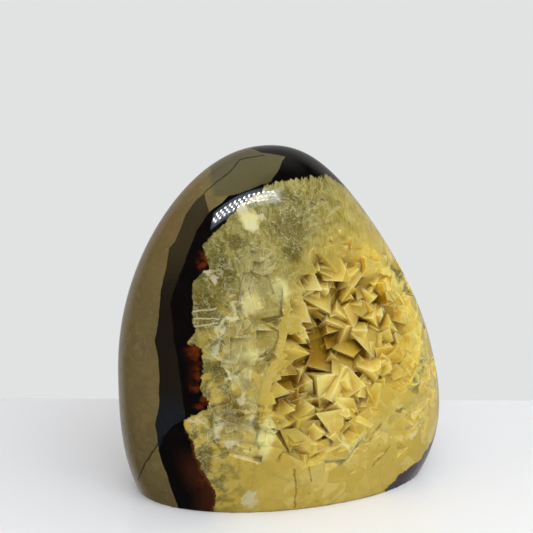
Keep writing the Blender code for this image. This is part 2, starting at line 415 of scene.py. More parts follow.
# Crystals that only the scene has: a growth of smaller ones all over the hollow's wall, and
# others that stand on the large ones
SMALL_SEED = 7
SMALL_EDGE = (0.0034, 0.0056)
MIDDLING_SHARE = 0.65
MIDDLING_EDGE = (0.008, 0.013)
SMALL_STRETCH = (1.2, 1.9)
SMALL_TILT_DEGREES = 45
SUNK_SHARE = 0.25
LEAST_ROOM = 0.001
ROOM_TAKEN = (0.6, 1.5)
NEAR_LARGE_DEGREES = 2.5
WELL_UNDER = 0.003
UNDER_LARGE = 0.0008
SMALL_AREA = 15e-6
RIDER_SEED = 9
RIDERS_EACH = 2
RIDER_EDGE = (0.0024, 0.0046)
RIDER_STRETCH = (1.4, 2.2)
RIDER_TILT_DEGREES = 30
RIDER_ASIDE = (0.05, 0.95)
RIDER_BACK = (0.02, 0.3)
RIDER_LEAN = (0.2, 1.1)
RIDER_SUNK = 0.0006
MAP_ROW = 100
WEDGE_CORNER = (0.1, 0.1)
MAP_CORNERS = ((0, 0), (1, 0), (1, 1), (0, 1))
ON_CORNER = Vector((1, 1, 1)).rotation_difference(Vector((0, 0, 1))).to_matrix().to_4x4()


def grow(places, name, wedges=0):
    """A collection of crystals from unit cubes. Each face's map is a square with a cell of its own.
    The first ones are wedges, whose bright faces are triangles."""
    crystals = bpy.data.collections.new(name)
    for number, place in enumerate(places):
        bm = bmesh.new()
        bmesh.ops.create_cube(bm, size=1)
        for vert in bm.verts:
            if number < wedges and vert.co.x > 0 and vert.co.y > 0:
                vert.co.xy = WEDGE_CORNER
        bm.transform(place)
        layer = bm.loops.layers.uv.verify()
        for side, face in enumerate(bm.faces):
            row, column = divmod(number * len(bm.faces) + side, MAP_ROW)
            for loop, (across, up) in zip(face.loops, MAP_CORNERS):
                loop[layer].uv = (column + across, row + up)
        crystals.objects.link(bpy.data.objects.new(name, mesh_of(name, bm)))
    return crystals


def cleared(crystals):
    """Removes a collection of crystals once they are part of a piece."""
    for crystal in list(crystals.objects):
        bpy.data.objects.remove(crystal)
    bpy.data.collections.remove(crystals)


def large_crystal(floor, tip, left, right):
    """The place of a crystal behind its bright face, as deep as it is wide, or down to its root."""
    first, second = left - tip, right - tip
    corner = first.angle(second)
    along = (first.normalized() + second.normalized()).normalized()
    back = first.cross(second).normalized()
    if back.dot(tip - CHART_CENTRE) > 0:
        first, second, back = second, first, -back
    slant = max(0.0, math.cos(corner)) / math.cos(corner / 2)
    edge = (along * slant + back * math.sqrt(1 - slant**2)).normalized()
    length = (first.length + second.length) / 2
    root = floor.ray_cast(tip + (first + second) / 2, edge)[3]
    if root:
        length = max(length, root + ROOT_DEPTH)
    third = edge * length
    columns = Matrix((first, second, third)).transposed().to_4x4()
    return Matrix.Translation(tip + (first + second + third) / 2) @ columns


def standing(foot, axis, turn, edge, stretch, sunk):
    """The place of a rhombohedron whose upper half stands on its foot along an axis."""
    return (
        Matrix.Translation(foot - axis * sunk)
        @ Vector((0, 0, 1)).rotation_difference(axis).to_matrix().to_4x4()
        @ Matrix.Rotation(turn, 4, "Z")
        @ Matrix.Diagonal((1, 1, stretch, 1))
        @ ON_CORNER
        @ Matrix.Scale(edge, 4)
    )


def tilted(axis, degrees, rng):
    """The axis, leaning by a random part of an angle to a random side."""
    lean = Matrix.Rotation(math.radians(degrees) * rng.random(), 3, axis.orthogonal())
    return Matrix.Rotation(rng.uniform(0, math.tau), 3, axis) @ lean @ axis


def main_places(floor):
    """Where each crystal of the solids stands, as matrices of unit cubes, the large ones first."""
    places = []
    faces = []
    for corners in LARGE_CRYSTALS.values():
        tip, left, right = (Vector(corner) * MM for corner in corners)
        places.append(large_crystal(floor, tip, left, right))
        faces.append(((left + right) / 2 - CHART_CENTRE).normalized())
    rng = random.Random(CRYSTAL_SEED)
    feet = []
    for _ in range(CRYSTAL_TRIES):
        spread = math.radians(WIDEST_OPENING_DEGREES) * math.sqrt(rng.random())
        turn = rng.uniform(0, math.tau)
        outward = chart_direction(spread, turn)
        foot, normal = floor.ray_cast(CHART_CENTRE, outward)[:2]
        if foot is None or any((foot - other).length < CRYSTAL_SPACING for other in feet):
            continue
        if any(outward.angle(face) < math.radians(CLEAR_OF_LARGE_DEGREES) for face in faces):
            continue
        feet.append(foot)
        inward = normal if normal.dot(outward) > 0 else -normal
        axis = tilted(inward, CRYSTAL_TILT_DEGREES, rng)
        edge = rng.uniform(*CRYSTAL_EDGE) * (1 - DEEP_SHRINKAGE * deepness(spread, turn))
        turned = rng.uniform(0, math.tau)
        stretch = rng.uniform(*CRYSTAL_STRETCH) * SHARPENED
        places.append(standing(foot, axis, turned, edge / SHARPENED**0.5, stretch, CRYSTAL_SUNK))
    return places


def room_over(foot, skin, faces):
    """How far a crystal may rise from the wall: to the polish, or to just under a large one."""
    offset = foot - CHART_CENTRE
    polish = skin.ray_cast(CHART_CENTRE, offset.normalized())[0]
    reach = (polish - CHART_CENTRE).length if polish else 0
    for near in faces:
        aligned = offset.angle(near) < math.radians(NEAR_LARGE_DEGREES)
        if aligned and near.length > offset.length + WELL_UNDER:
            reach = min(reach, near.length - UNDER_LARGE)
    return reach - offset.length


def small_places(wall, skin, faces):
    """Smaller crystals all over the hollow's wall, many of them middling, low where it is shallow."""
    rng = random.Random(SMALL_SEED)
    places = []
    for side in wall.faces:
        corners = [vert.co for vert in side.verts]
        for _ in range(int(side.calc_area() / SMALL_AREA + rng.random())):
            first, second = sorted((rng.random(), rng.random()))
            foot = corners[0] * first + corners[1] * (second - first) + corners[2] * (1 - second)
            room = room_over(foot, skin, faces)
            if room < LEAST_ROOM:
                continue
            sizes = MIDDLING_EDGE if rng.random() < MIDDLING_SHARE else SMALL_EDGE
            axis = tilted(-side.normal, SMALL_TILT_DEGREES, rng)
            stretch = rng.uniform(*SMALL_STRETCH)
            edge = min(rng.uniform(*sizes), room * rng.uniform(*ROOM_TAKEN) / stretch)
            sunk = edge * stretch * SUNK_SHARE
            places.append(standing(foot, axis, rng.uniform(0, math.tau), edge, stretch, sunk))
    return places


def rider_places(large):
    """Small crystals on the far half of each large one's bright face, so that its tip stays clear."""
    rng = random.Random(RIDER_SEED)
    places = []
    for place in large:
        first, second, third = (place.col[axis].to_3d() for axis in range(3))
        outward = first.cross(second).normalized()
        if outward.dot(third) > 0:
            outward = -outward
        tip = place.translation - (first + second + third) / 2
        for _ in range(RIDERS_EACH):
            across = rng.uniform(*RIDER_ASIDE)
            edge_point = tip + first * across + second * (1 - across)
            foot = edge_point + third * rng.uniform(*RIDER_BACK)
            edge, stretch = rng.uniform(*RIDER_EDGE), rng.uniform(*RIDER_STRETCH)
            lean = (first + second).normalized() * rng.uniform(*RIDER_LEAN)
            axis = tilted((outward + lean).normalized(), RIDER_TILT_DEGREES, rng)
            places.append(standing(foot, axis, rng.uniform(0, math.tau), edge, stretch, RIDER_SUNK))
    return places


def shells_of(bm):
    """The groups of faces that hang together."""
    left = set(bm.faces)
    shells = []
    while left:
        shell = [left.pop()]
        for face in shell:
            near = {other for edge in face.edges for other in edge.link_faces} & left
            left -= near
            shell.extend(near)
        shells.append(shell)
    return shells


def crystal_crust(skin, grown, chips, materials):
    """The whole crust as one closed body, its crystals cut off flush where they meet the polish."""
    inset = CRUST_GAP + CRUST_THICKNESS
    floor = BVHTree.FromBMesh(hollow_lens(skin, FLOOR_FACETS, INNER_CAP_RISE, inset))
    wall = hollow_lens(skin, WALL_FACETS, INNER_CAP_RISE, inset)
    faces = [
        sum(map(Vector, corners), Vector()) * MM / 3 - CHART_CENTRE
        for corners in LARGE_CRYSTALS.values()
    ]
    main = main_places(floor)
    large = main[: len(LARGE_CRYSTALS)]
    smaller = small_places(wall, skin, faces) + rider_places(large)
    crystals = grow(main + smaller, "crystal_form", wedges=len(large))
    inner_form = new_piece("crust_inner_form", wall, [])
    lining = hollow_lens(skin, RIM_FACETS, inset=-CRUST_OVERLAP)
    crust = new_piece("crystal_crust", lining, materials)
    boolean(crust, "DIFFERENCE", inner_form)
    boolean(crust, "UNION", crystals)
    boolean(crust, "INTERSECT", grown)
    boolean(crust, "DIFFERENCE", chips)
    bm = applied(crust, [inner_form, grown])
    cleared(crystals)
    for shell in sorted(shells_of(bm), key=len)[:-1]:
        bmesh.ops.delete(bm, geom=shell, context="FACES")
    bm.to_mesh(crust.data)
    bm.free()
    return crust, floor


# Broken places in the polish

CHIP_SEED = 5
CHIPS_PER_GRAIN = 6
CHIP_EDGE = (0.004, 0.011)
GRAIN_TILT_DEGREES = (12, 40)
SHALLOWEST_CHIP = 0.00012
# The middle and the half sizes of each broken place on the chart, its chips, and its deepest chip
BROKEN_PLACES = (
    ((-22, 20), (7, 12), 64, 0.0044),
    ((-25, 3), (8, 10), 60, 0.0038),
    ((-24, -19), (4, 9), 36, 0.0024),
    ((-22, 40), (4, 6), 16, 0.0007),
    ((-31, -15), (4, 7), 14, 0.0008),
    ((12, -26), (22, 9), 24, 0.0009),
    ((47, -14), (2.5, 2), 6, 0.0009),
    ((38, 14), (12, 22), 70, 0.003),
    ((34, -14), (9, 10), 20, 0.0014),
    ((2, 40), (12, 5), 18, 0.0006),
)


def chip_places(skin):
    """Where the polish has broken off, as matrices of unit cubes that share a grain's cleavage."""
    rng = random.Random(CHIP_SEED)
    places = []
    for middle, reach, count, deepest in BROKEN_PLACES:
        for number in range(count):
            radius, turn = math.sqrt(rng.random()), rng.uniform(0, math.tau)
            across = middle[0] + reach[0] * radius * math.cos(turn)
            up = middle[1] + reach[1] * radius * math.sin(turn)
            outward = chart_direction(math.radians(math.hypot(across, up)), math.atan2(up, across))
            if number % CHIPS_PER_GRAIN == 0:
                tilt = math.radians(rng.uniform(*GRAIN_TILT_DEGREES))
                lean = Matrix.Rotation(tilt, 3, outward.orthogonal())
                turned = Matrix.Rotation(rng.uniform(0, math.tau), 3, outward) @ lean
                grain = turned @ Vector((0, 0, 1)).rotation_difference(outward).to_matrix()
            edge = rng.uniform(*CHIP_EDGE)
            depth = SHALLOWEST_CHIP + (deepest - SHALLOWEST_CHIP) * rng.random() * (1 - radius**2)
            reached = edge / 2 * sum(abs(outward.dot(grain.col[axis])) for axis in range(3))
            face = skin.ray_cast(CHART_CENTRE, outward)[0]
            spot = face + outward * (reached - depth)
            places.append(Matrix.Translation(spot) @ grain.to_4x4() @ Matrix.Scale(edge, 4))
    return places


# What the materials read from the surface

FAR_FROM_WALL = 20.0


def mark(made, skin, floor):
    """Stores each point's place on the chart, how deep it lies, and how far inside the bands."""
    mesh = made.data
    points = np.empty(len(mesh.vertices) * 3)
    mesh.vertices.foreach_get("co", points)
    points = points.reshape(-1, 3)
    chart = chart_of(points)
    depths = np.zeros(len(points))
    growth = np.full(len(points), FAR_FROM_WALL)
    for index, point in enumerate(points):
        offset = Vector(point) - CHART_CENTRE
        for found, tree, sign in ((depths, skin, 1), (growth, floor, -1)):
            hit = tree.ray_cast(CHART_CENTRE, offset.normalized())[0]
            if hit:
                found[index] = sign * ((hit - CHART_CENTRE).length - offset.length) / MM
    bands = [inside(chart, outline) for outline in (CALCITE_EDGE, DARK_EDGE, GREY_EDGE)]
    top_band = inside(chart, TOP_BAND)
    for name, kind, field, columns in (
        ("chart", "FLOAT_VECTOR", "vector", (*chart.T, depths)),
        ("bands", "FLOAT_VECTOR", "vector", bands),
        ("top_band", "FLOAT", "value", [top_band]),
        ("growth", "FLOAT", "value", [growth]),
    ):
        values = mesh.attributes.new(name, kind, "POINT").data
        values.foreach_set(field, np.column_stack(columns).astype(np.float32).ravel())
    return depths


# Shader helpers


def colour(*shown):
    """A colour as a screen shows it, from 0 to 255, as the shader's own numbers."""
    linear = []
    for part in shown:
        part /= 255
        linear.append(part / 12.92 if part <= 0.04045 else ((part + 0.055) / 1.055) ** 2.4)
    return (*linear, 1)


class Shader:
    """Adds linked nodes to one material or node group, by short calls."""

    def __init__(self, tree):
        self.tree = tree

    def feed(self, socket, value):
        if isinstance(value, bpy.types.NodeSocket):
            self.tree.links.new(value, socket)
        elif value is not None:
            socket.default_value = value

    def add(self, kind, *values, output=0, **settings):
        node = self.tree.nodes.new("ShaderNode" + kind)
        for name, value in settings.items():
            setattr(node, name, value)
        for socket, value in zip(node.inputs, values):
            self.feed(socket, value)
        return node.outputs[output]

    def math(self, operation, first, second=None, third=None):
        return self.add("Math", first, second, third, operation=operation)

    def product(self, first, *others):
        for other in others:
            first = self.math("MULTIPLY", first, other)
        return first

    def vector(self, operation, first, second=None, output=0, scale=None):
        values = (first, second, None, scale)
        return self.add("VectorMath", *values, operation=operation, output=output)

    def ramp(self, value, low, high, start=0.0, end=1.0):
        """A smooth step from start to end while the value goes from low to high."""
        return self.add("MapRange", value, low, high, start, end, interpolation_type="SMOOTHSTEP")

    def mix(self, factor, first, second):
        """Goes from one colour to another. Three plain numbers are a colour as a screen shows it."""
        node = self.tree.nodes.new("ShaderNodeMix")
        node.data_type = "RGBA"
        self.feed(node.inputs[0], factor)
        for place, value in ((6, first), (7, second)):
            on_screen = isinstance(value, tuple) and len(value) == 3
            self.feed(node.inputs[place], colour(*value) if on_screen else value)
        return node.outputs[2]

    def over(self, under, top, *masks):
        """A colour laid over another one where all the masks are high."""
        return self.mix(self.product(*masks), under, top)

    def noise(self, vector, scale, detail=2.0, roughness=0.5, distortion=0.0, output=0):
        values = (vector, None, scale, detail, roughness, None, None, None, distortion)
        return self.add("TexNoise", *values, output=output)

    def cells(self, vector, scale, feature="F1", output=0):
        return self.add("TexVoronoi", vector, None, scale, feature=feature, output=output)

    def bumps(self, surface, height, distance, strength):
        bump = self.tree.nodes.new("ShaderNodeBump")
        bump.inputs["Strength"].default_value = strength
        bump.inputs["Distance"].default_value = distance
        self.feed(bump.inputs["Height"], height)
        self.feed(surface.inputs["Normal"], bump.outputs[0])

    def parts(self, vector):
        return self.add("SeparateXYZ", vector, output=slice(3))

    def stored(self, name, output="Vector"):
        return self.add("Attribute", attribute_name=name, output=output)

    def use(self, group, **values):
        node = self.tree.nodes.new("ShaderNodeGroup")
        node.node_tree = group
        for name, value in values.items():
            self.feed(node.inputs[name.replace("_", " ")], value)
        return node.outputs


# What each socket of the effects carries, where it isn't a vector
SOCKET_KINDS = {"Colour": "Color"} | dict.fromkeys(
    ("Size", "Share", "Width", "Top band", "Inside", "Distance", "Mask", "Calcite"), "Float"
)


def effect(name, inputs, outputs, recipe):
    """A shader node group. The recipe takes its inputs and gives its outputs, in order."""
    group = bpy.data.node_groups.new(name, "ShaderNodeTree")
    for way, labels in (("INPUT", inputs), ("OUTPUT", outputs)):
        for label in labels:
            kind = "NodeSocket" + SOCKET_KINDS.get(label, "Vector")
            group.interface.new_socket(label, in_out=way, socket_type=kind)
    start = group.nodes.new("NodeGroupInput")
    end = group.nodes.new("NodeGroupOutput")
    sockets = [start.outputs[place] for place in range(len(inputs))]
    for place, result in enumerate(recipe(Shader(group), *sockets)):
        group.links.new(result, end.inputs[place])
    return group


# Effects that the materials share


def patch_recipe(s, chart, middle, reach):
    """1 in the middle of an oval on the chart, 0 on its edge and below 0 outside it."""
    offset = s.vector("DIVIDE", s.vector("SUBTRACT", chart, middle), reach)
    return [s.math("SUBTRACT", 1, s.vector("LENGTH", offset, output=1))]


def line_recipe(s, chart, start, end):
    """How far it is from a straight line on the chart."""
    offset = s.vector("SUBTRACT", chart, start)
    side = s.vector("SUBTRACT", end, start)
    across, length = (s.vector("DOT_PRODUCT", other, side, 1) for other in (offset, side))
    reached = s.vector("SCALE", side, scale=s.add("Clamp", s.math("DIVIDE", across, length)))
    return [s.vector("DISTANCE", offset, reached, 1)]


def speck_recipe(s, place, size, share):
    """Small dots, one in a share of the cells of a pattern."""
    spot = s.cells(place, size)
    pick = s.parts(s.cells(place, size, output=1))[0]
    return [s.product(s.ramp(spot, 0.12, 0.24, 1, 0), s.math("LESS_THAN", pick, share))]


def vein_recipe(s, place, size, width):
    """Thin wandering lines, where a noise passes its middle."""
    ridge = s.math("ABSOLUTE", s.math("SUBTRACT", s.noise(place, size, 3, 0.6, 0.4), 0.5))
    return [s.ramp(ridge, 0, width, 1, 0)]


PATCH = effect("Patch", ("Chart", "Middle", "Reach"), ["Inside"], patch_recipe)
LINE = effect("Line", ("Chart", "Start", "End"), ["Distance"], line_recipe)
SPECKS = effect("Specks", ("Place", "Size", "Share"), ["Mask"], speck_recipe)
VEINS = effect("Veins", ("Place", "Size", "Width"), ["Mask"], vein_recipe)

# Ovals on the chart: the middle's place across and up, and the half sizes
RUST_PLACES = (
    (-37.6, 28.3, 2.3, 2.8), (-41.2, 2, 2.6, 3.4), (-40.6, -3.6, 2.4, 3.2), (-40.9, -8, 1.6, 2.4),
    (-37.6, -11.5, 1.5, 1.7), (-36.4, -14.2, 1, 0.9), (-39.2, -13.2, 1.4, 1.2),
    (-35.4, -36, 0.9, 5.5),
)
WHITE_PLACES = (
    (-24.6, 43.4, 2.2, 2.4), (-22.8, 38.6, 2.4, 2.2), (-19.5, 41.3, 1.6, 0.8),
    (-37.2, 25.6, 2.6, 1.1), (-35.2, 23.2, 1.3, 1.6), (-22.3, -39.8, 2.4, 3.6),
    (-35.3, 3, 1.5, 1.8), (-33.5, 8, 1.2, 2), (-31, -5.5, 2.6, 0.9), (-27.2, -5.4, 0.8, 2.6),
    (-31.4, 12, 2.2, 0.8), (-39, -17.6, 3, 1), (-33.6, -19.6, 1.4, 3.4), (-29.5, -23.6, 3.4, 1),
    (-28, -11.6, 1.1, 3), (-24.6, -19, 1.2, 3.4), (-25.6, -27, 1, 1.6), (26.5, -29.5, 3.4, 2),
)
PALE_PLACES = (
    (-25.4, 16.2, 4.4, 4.8), (-17, 20, 4.5, 5), (-20.5, -23, 3.2, 7), (-23, 40, 3.6, 4.2),
    (4, -26.5, 3, 3), (-26, 0.5, 6, 2.6),
)
# Dark olive places: partly the calcite's own colour, partly painted shade between its broken lumps
DUSKY_AND_SHADED_PLACES = (
    (-33, 25, 4.6, 7), (-11, 38.5, 8, 5.5), (-12, 46.5, 8, 2.6), (-31, -15.5, 3.2, 5.6),
    (-11, 31.5, 4, 5), (-38, 15, 4, 8), (-28, 34, 3, 3), (-34.5, -3.5, 3, 5), (-36, -29, 3, 6),
)
WINDOW_PLACES = ((-30.5, -15.5, 4.6, 7.6),)
# Spots of the hollow whose crystals get golden painted shade
GOLDEN_SHADE_PLACES = (
    (-5, -4, 7.5, 6.5), (-13, -14, 6.5, 10), (25, 13, 5, 4), (-13, 3, 4, 6), (38, 24, 4, 7),
    (-13, -33, 2, 4),
)

# Lines drawn on the chart, each as the points that it runs through
WHITE_FRAMES = (
    ((-36, 1.5), (-34.5, 5.5), (-35.2, 9), (-32.5, 12.3), (-29.5, 11.6)),
    ((-36, 1.5), (-33.5, 0), (-31, -5.5), (-28.5, -7.8), (-26.4, -5.5), (-25.6, -1.5)),
    ((-33.5, 0), (-28.5, -0.4), (-25.6, -1.5), (-22.5, -4.6)),
    ((-29.5, 11.6), (-30.6, 16.5), (-26.5, 20.6)), ((-22.5, 19.5), (-21, 12), (-16, 15)),
)
WHITE_LINES = (
    ((-41, 14), (-35, 15)), ((-41, 12), (-34.5, 12)), ((-41, 9.6), (-35, 10.8)),
    ((2, -22), (4.5, -30)), ((0, -27.5), (9.5, -27)), ((4.5, -30), (14.5, -27.5)),
    ((2.8, -22.4), (9.4, -27.6)), ((5, -30), (-2, -23)),
)
CRACK_LINES = (
    ((-41, -19), (-44, -21), (-47, -23), (-49, -28), (-51, -34), (-53, -44)),
    ((-34.5, 48.5), (-31, 51), (-26, 54), (-22, 58), (-14.5, 59)),
)
BROWN_LINES = (
    ((-12, -32), (-10.5, -38), (-10, -43)), ((-8, -31), (-6.5, -36)),
    ((33, 12), (27, 17), (22, 15)), ((30, 26), (24, 21)), ((36, 4), (31, 8)),
    ((18, -31), (12, -35)),
)


def extreme(s, operation, values):
    """The highest or the lowest of a list of values."""
    found = values[0]
    for value in values[1:]:
        found = s.math(operation, found, value)
    return found


def patches(s, chart, places, full, edge=0):
    """1 well inside any of a list of ovals, and 0 outside them."""
    ovals = [
        s.use(PATCH, Chart=chart, Middle=(across, up, 0), Reach=(wide, high, 0))["Inside"]
        for across, up, wide, high in places
    ]
    return s.ramp(extreme(s, "MAXIMUM", ovals), edge, full)


def lines(s, chart, paths, thin, wide):
    """1 on any of a list of drawn paths, falling to 0 between two distances from them."""
    gaps = [
        s.use(LINE, Chart=chart, Start=(*start, 0), End=(*end, 0))["Distance"]
        for path in paths
        for start, end in zip(path, path[1:])
    ]
    return s.ramp(extreme(s, "MINIMUM", gaps), thin, wide, 1, 0)


def warped(s, chart, scale, reach, detail=3):
    """The chart, pushed about by a noise so that what is drawn on it gets ragged edges."""
    push = s.vector("SUBTRACT", s.noise(chart, scale, detail, 0.6, output=1), (0.5, 0.5, 0.5))
    return s.vector("ADD", chart, s.vector("MULTIPLY", push, (reach, reach, 0)))


def slope(s, across, up, right, rise):
    """A value that changes evenly over the chart, by one rate to the right and another upwards."""
    return s.math("MULTIPLY_ADD", across, right, s.math("MULTIPLY", up, rise))


def calcite_tone_recipe(s, chart, place):
    """Greenish and cloudy at the upper left, golden towards the right and the foot."""
    across, up, _ = s.parts(chart)
    cloud = s.math("MULTIPLY_ADD", s.noise(place, 60, 3, 0.55), 22, -11)
    lean = s.math("ADD", slope(s, across, up, 0.55, -0.8), cloud)
    tone = s.mix(s.ramp(lean, -46, -6), (112, 106, 46), (202, 176, 80))
    tone = s.over(tone, (206, 182, 94), s.ramp(up, -12, -36, 0, 0.6), s.ramp(across, -30, -14))
    return [s.over(tone, (178, 154, 66), s.ramp(s.noise(place, 140, 4, 0.6), 0.3, 0.7), 0.4)]


CALCITE_TONE = effect("Calcite tone", ("Chart", "Place"), ["Colour"], calcite_tone_recipe)
SAWN_SCALE = 0.17


def sawn_calcite_recipe(s, chart, place):
    """The calcite where the polish cuts it, with crystal outlines, fibres, flaws and cracks."""
    across, up, _ = s.parts(chart)
    tone = s.use(CALCITE_TONE, Chart=chart, Place=place)["Colour"]
    ragged = warped(s, chart, 0.45, 3.4)
    bent = warped(s, chart, 0.16, 7)
    blotches = s.noise(bent, 0.3, 4, 0.6)

    # Sawn crystals, some of them pale, with golden outlines towards the right
    facets = warped(s, chart, 0.07, 6, 0)
    grain = s.parts(s.cells(facets, SAWN_SCALE, output=1))[0]
    right = s.ramp(slope(s, across, up, 1, -0.5), -12, 16)
    lit = s.product(s.ramp(grain, 0, 1), s.math("MULTIPLY_ADD", right, 0.2, 0.18))
    tone = s.over(tone, (242, 224, 146), lit, s.ramp(blotches, 0.36, 0.56))
    between = s.ramp(s.cells(facets, SAWN_SCALE, "DISTANCE_TO_EDGE"), 0, 0.07, 1, 0)
    golden = s.product(s.ramp(slope(s, across, up, 1, -0.6), -18, 14), s.ramp(blotches, 0.4, 0.62))
    tone = s.over(tone, (164, 128, 44), between, golden, 0.2)

    # Fibres near the top
    high = s.ramp(slope(s, across, up, -0.25, 1), 24, 40)
    fibres = s.noise(s.vector("MULTIPLY", bent, (1, 0.28, 1)), 0.9, 4, 0.65)
    tone = s.over(tone, (190, 184, 128), s.ramp(fibres, 0.45, 0.62), high, 0.45)
    tone = s.over(tone, (104, 104, 50), s.ramp(fibres, 0.5, 0.36), high, 0.6)

    # Dark and pale places. The dark olive ones are partly the calcite's colour, partly painted shade
    # between lumps
    left = s.ramp(across, -18, -34)
    tone = s.over(tone, (98, 94, 42), s.ramp(blotches, 0.42, 0.6), left, 0.85)
    tone = s.over(tone, (96, 84, 30), patches(s, ragged, DUSKY_AND_SHADED_PLACES, 0.5), 0.72)
    tone = s.over(tone, (122, 98, 22), patches(s, ragged, WINDOW_PLACES, 0.4), 0.75)
    tone = s.over(tone, (236, 226, 156), patches(s, ragged, PALE_PLACES, 0.6), 0.85)

    # White flaws and frames, brown cracks and dots
    upper_left = s.ramp(slope(s, across, up, -1, 0.4), 6, 26)
    flaws = s.use(VEINS, Place=bent, Size=0.22, Width=0.022)["Mask"]
    fine = s.use(VEINS, Place=chart, Size=0.55, Width=0.03)["Mask"]
    veined = s.math("MAXIMUM", flaws, s.product(fine, 0.6))
    tone = s.over(tone, (212, 208, 166), veined, upper_left, 0.5)
    white = patches(s, warped(s, chart, 0.55, 5.5, 5), WHITE_PLACES, 0.5)
    tone = s.over(tone, (220, 214, 178), white, 0.7)
    frame = lines(s, warped(s, chart, 0.5, 2.4, 4), WHITE_FRAMES, 0.15, 0.75)
    tone = s.over(tone, (220, 216, 178), frame, 0.62)
    streak = lines(s, warped(s, chart, 0.5, 0.9), WHITE_LINES, 0.1, 0.32)
    tone = s.over(tone, (228, 224, 178), streak, 0.6)
    crack = lines(s, warped(s, chart, 0.6, 1.6), BROWN_LINES, 0.08, 0.34)
    tone = s.over(tone, (128, 92, 30), crack, 0.65)
    dots = s.use(SPECKS, Place=place, Size=330, Share=0.1)["Mask"]
    near_rim = s.math("MULTIPLY_ADD", s.ramp(across, 38, 46), 0.6, 0.25)
    return [s.over(tone, (104, 88, 44), dots, near_rim)]


SAWN_CALCITE = effect("Sawn calcite", ("Chart", "Place"), ["Colour"], sawn_calcite_recipe)


def polished_face_recipe(s, chart, bands, top_band, place):
    """The colour of the polished stone, band by band, and where it is calcite."""
    in_calcite, in_dark, in_grey = s.parts(bands)
    across, up, _ = s.parts(chart)
    spread = s.vector("LENGTH", s.vector("MULTIPLY", chart, (1, 1, 0)), output=1)
    facing = s.ramp(spread, 82, 72)
    wobble = s.math("MULTIPLY_ADD", s.noise(chart, 0.35, 4, 0.65), 3, -1.5)
    spiky = s.noise(s.vector("MULTIPLY", chart, (1.3, 0.22, 1)), 0.8, 3, 0.6)
    spiky = s.product(s.math("SUBTRACT", spiky, 0.5), s.ramp(up, 42, 50), 4.5)
    slight = s.math("MULTIPLY_ADD", s.noise(chart, 0.12, 3, 0.5), 1.6, -0.8)
    calcite_at = s.math("ADD", s.math("ADD", in_calcite, wobble), spiky)
    dark_at = s.math("ADD", in_dark, slight)
    grey_at = s.math("ADD", in_grey, slight)

    # Limestone, with stains, specks and scratches
    grain = s.noise(place, 1400, 3, 0.6)
    stone = s.mix(grain, (114, 98, 60), (132, 115, 71))
    stone = s.over(stone, (94, 82, 50), s.ramp(s.noise(place, 45, 3, 0.55), 0.4, 0.65, 0, 0.45))
    stone = s.over(stone, (84, 73, 46), s.ramp(s.noise(place, 420, 4, 0.7), 0.38, 0.62), 0.3)
    stain = s.product(s.ramp(up, 8, 50), s.ramp(s.noise(place, 90, 3, 0.6), 0.35, 0.65))
    stone = s.over(stone, (128, 98, 52), stain, s.ramp(across, -30, -42), 0.7)
    pale = s.use(SPECKS, Place=place, Size=700, Share=0.1)["Mask"]
    stone = s.over(stone, (158, 138, 92), pale, 0.6)
    scratch = s.use(VEINS, Place=place, Size=55, Width=0.005)["Mask"]
    stone = s.over(stone, (152, 132, 96), scratch, 0.35)

    # Seams of calcite with a dark margin, on the stone's back
    push = s.vector("MULTIPLY", s.noise(place, 40, 4, 0.6, output=1), (0.03, 0.03, 0.03))
    seams = s.cells(s.vector("ADD", place, push), 26, "DISTANCE_TO_EDGE")
    behind = s.ramp(spread, 84, 92)
    stone = s.over(stone, (34, 25, 18), s.ramp(seams, 0.075, 0.06), behind)
    stone = s.over(stone, (178, 152, 74), s.ramp(seams, 0.042, 0.03), behind)

    # The grey band, the brown wedge above it, and the black margin
    grey = s.mix(grain, (24, 20, 12), (36, 30, 20))
    grey = s.over(grey, s.mix(grain, (50, 42, 24), (64, 54, 34)), s.ramp(up, 16, 36))
    grey = s.over(grey, (30, 32, 36), s.ramp(up, -8, -18))
    stone = s.over(stone, grey, s.ramp(grey_at, -0.1, 0.1))
    wedge = s.product(s.ramp(top_band, 0.1, -0.1), s.ramp(up, 46, 47.5), s.ramp(across, -33, -31))
    stone = s.over(stone, s.mix(grain, (82, 76, 50), (100, 92, 62)), wedge, facing)
    black = s.mix(s.noise(chart, 0.3, 3), (4, 3, 3), (16, 10, 7))
    black = s.over(black, (70, 34, 15), s.ramp(up, -24, -34), s.ramp(calcite_at, -7, -0.8), 0.9)
    stone = s.over(stone, black, s.ramp(dark_at, -0.1, 0.12))
    stone = s.over(stone, (24, 20, 18), s.ramp(top_band, -0.1, 0.2))
    stone = s.over(stone, (86, 78, 82), s.ramp(across, 8, 14), s.ramp(up, -30, -36), facing)

    # Rust along the calcite's edge, and a crack at the foot and the top
    lump = s.noise(chart, 0.5, 4, 0.6)
    bright = s.product(s.ramp(calcite_at, -3.6, -0.4), s.ramp(lump, 0.36, 0.6))
    rusty = patches(s, warped(s, chart, 0.42, 4.2, 5), RUST_PLACES, 0.7, edge=-0.15)
    stone = s.over(stone, s.mix(bright, (38, 14, 6), (116, 48, 8)), rusty)
    rim = s.product(s.ramp(calcite_at, -0.9, -0.3), s.ramp(up, -18, -26), s.ramp(across, 0, -10))
    stone = s.over(stone, (104, 56, 16), rim, 0.7)
    crack = lines(s, warped(s, chart, 0.4, 0.8), CRACK_LINES, 0.1, 0.3)
    stone = s.over(stone, (14, 11, 9), crack, 0.8)

    calcite = s.use(SAWN_CALCITE, Chart=chart, Place=place)["Colour"]
    inner = s.product(s.ramp(calcite_at, -0.15, 0.2), s.ramp(rusty, 0.3, 0.8, 1, 0))
    return [s.mix(inner, stone, calcite), inner]


POLISHED_FACE = effect(
    "Polished face",
    ("Chart", "Bands", "Top band", "Place"),
    ("Colour", "Calcite"),
    polished_face_recipe,
)


# Materials


